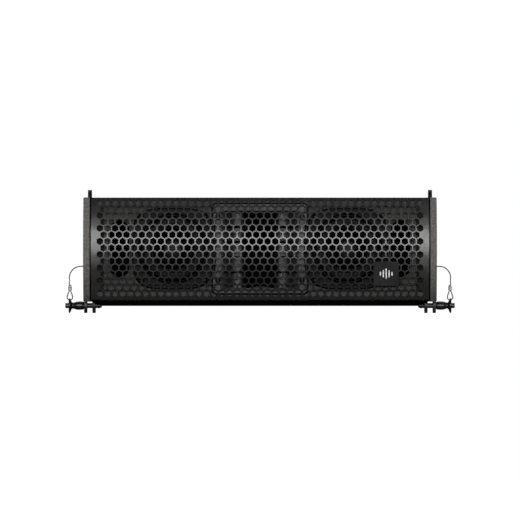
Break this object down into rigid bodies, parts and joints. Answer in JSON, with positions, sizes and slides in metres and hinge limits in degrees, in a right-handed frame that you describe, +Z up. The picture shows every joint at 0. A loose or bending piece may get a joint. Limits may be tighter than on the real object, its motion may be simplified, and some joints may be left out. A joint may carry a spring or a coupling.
{
  "type": "line array speaker",
  "caption": "Compact wedge-shaped line array loudspeaker with a bowed perforated grille, woofers either side of a horn, rigging links and quick-release pins on lanyards.",
  "frame": {"origin": "centre of the whole object's footprint, at the level of the bottom of the front forks", "axes": "+Z up, the grille faces -Y, +X to the right as seen from the front"},
  "size_m": [0.486, 0.2404, 0.1537],
  "materials": {
    "textured_paint": "birch plywood under a fine speckled polyurea coat, warm dark grey, matt",
    "birch_ply": "raw birch plywood",
    "grille_steel": "semi-gloss black powder coat",
    "badge_plastic": "satin black",
    "black_steel": "black powder coat, worn at the holes",
    "pin_black": "black oxide, satin",
    "pin_button_steel": "turned steel",
    "wire_rope": "stranded stainless wire",
    "ferrule_aluminium": "crimped, satin",
    "zinc_steel": "zinc plated",
    "basket_steel": "black stoved enamel",
    "surround_rubber": "matt",
    "cone_paper": "coated pulp, matt",
    "coil_former": "amber film with copper winding",
    "spider_cloth": "resin-dipped weave",
    "ferrite": "ground ferrite",
    "moulded_plastic": "moulded, fine texture",
    "horn_plastic": "moulded, satin",
    "driver_casting": "cast aluminium",
    "circuit_board": "solder mask",
    "copper_winding": "enamelled copper wire",
    "film_capacitor": "yellow wrap",
    "cable_sheath": "black sheath",
    "socket_plastic": "glass-filled nylon"
  },
  "bodies": {
    "cabinet": {"top_panel": "textured_paint", "bottom_panel": "textured_paint", "rear_panel": "textured_paint", "baffle": "textured_paint", "brace": "birch_ply", "front_grille": "grille_steel", "badge_plate": "badge_plastic", "horn_waveguide": "horn_plastic", "wave_shaper": "moulded_plastic", "compression_driver": "driver_casting", "compression_driver_cover": "moulded_plastic", "crossover_board": "circuit_board", "crossover_inductor": "copper_winding", "crossover_capacitor": "film_capacitor", "wiring_loom": "cable_sheath", "input_plate": "black_steel", "socket_in": "socket_plastic", "socket_link": "socket_plastic", "lower_rig_bar": "black_steel", "rear_rig_bracket": "black_steel", "splay_pivot_bolt": "zinc_steel", "side_panel_left": "textured_paint", "front_rig_plate_left": "black_steel", "top_link_left": "black_steel", "port_duct_left": "moulded_plastic", "woofer_basket_left": "basket_steel", "woofer_surround_left": "surround_rubber", "woofer_spider_left": "spider_cloth", "woofer_top_plate_left": "zinc_steel", "woofer_magnet_left": "ferrite", "woofer_pole_yoke_left": "zinc_steel", "side_panel_right": "textured_paint", "front_rig_plate_right": "black_steel", "top_link_right": "black_steel", "port_duct_right": "moulded_plastic", "woofer_basket_right": "basket_steel", "woofer_surround_right": "surround_rubber", "woofer_spider_right": "spider_cloth", "woofer_top_plate_right": "zinc_steel", "woofer_magnet_right": "ferrite", "woofer_pole_yoke_right": "zinc_steel", "lanyard_wire_left": "wire_rope", "lanyard_wire_right": "wire_rope", "lanyard_wire_rear": "wire_rope"},
    "splay_arm": {"splay_arm": "zinc_steel"},
    "quick_pin_left": {"pin_left": "pin_black", "lanyard_ferrule_left": "ferrule_aluminium"},
    "button_left": {"pin_button_left": "pin_button_steel"},
    "quick_pin_right": {"pin_right": "pin_black", "lanyard_ferrule_right": "ferrule_aluminium"},
    "button_right": {"pin_button_right": "pin_button_steel"},
    "quick_pin_rear": {"pin_rear": "pin_black", "lanyard_ferrule_rear": "ferrule_aluminium"},
    "button_rear": {"pin_button_rear": "pin_button_steel"},
    "woofer_moving_left": {"woofer_cone_left": "cone_paper", "woofer_dust_cap_left": "cone_paper", "woofer_voice_coil_left": "coil_former"},
    "woofer_moving_right": {"woofer_cone_right": "cone_paper", "woofer_dust_cap_right": "cone_paper", "woofer_voice_coil_right": "coil_former"}
  },
  "joints": [
    {"name": "pin_left_slide", "type": "slide", "parent": "cabinet", "child": "quick_pin_left", "axis": [-1, 0, 0], "range_m": [0, 0.0225], "deforming": ["lanyard_wire_left"]},
    {"name": "pin_button_left_press", "type": "slide", "parent": "quick_pin_left", "child": "button_left", "axis": [1, 0, 0], "range_m": [0, 0.003], "stiffness_N_per_m": 800, "springref_m": -0.002},
    {"name": "pin_right_slide", "type": "slide", "parent": "cabinet", "child": "quick_pin_right", "axis": [1, 0, 0], "range_m": [0, 0.0225], "deforming": ["lanyard_wire_right"]},
    {"name": "pin_button_right_press", "type": "slide", "parent": "quick_pin_right", "child": "button_right", "axis": [-1, 0, 0], "range_m": [0, 0.003], "stiffness_N_per_m": 800, "springref_m": -0.002},
    {"name": "pin_rear_slide", "type": "slide", "parent": "cabinet", "child": "quick_pin_rear", "axis": [1, 0, 0], "range_m": [0, 0.0225], "deforming": ["lanyard_wire_rear"]},
    {"name": "pin_button_rear_press", "type": "slide", "parent": "quick_pin_rear", "child": "button_rear", "axis": [-1, 0, 0], "range_m": [0, 0.003], "stiffness_N_per_m": 800, "springref_m": -0.002},
    {"name": "splay_arm_pivot", "type": "hinge", "parent": "cabinet", "child": "splay_arm", "pos_m": [0, 0.1109, 0.118], "axis": [1, 0, 0], "range_deg": [0, 180]},
    {"name": "cone_left_travel", "type": "slide", "parent": "cabinet", "child": "woofer_moving_left", "axis": [0, -1, 0], "range_m": [-0.0035, 0.0035], "stiffness_N_per_m": 1800, "deforming": ["woofer_surround_left", "woofer_spider_left"]},
    {"name": "cone_right_travel", "type": "slide", "parent": "cabinet", "child": "woofer_moving_right", "axis": [0, -1, 0], "range_m": [-0.0035, 0.0035], "stiffness_N_per_m": 1800, "deforming": ["woofer_surround_right", "woofer_spider_right"]}
  ]
}
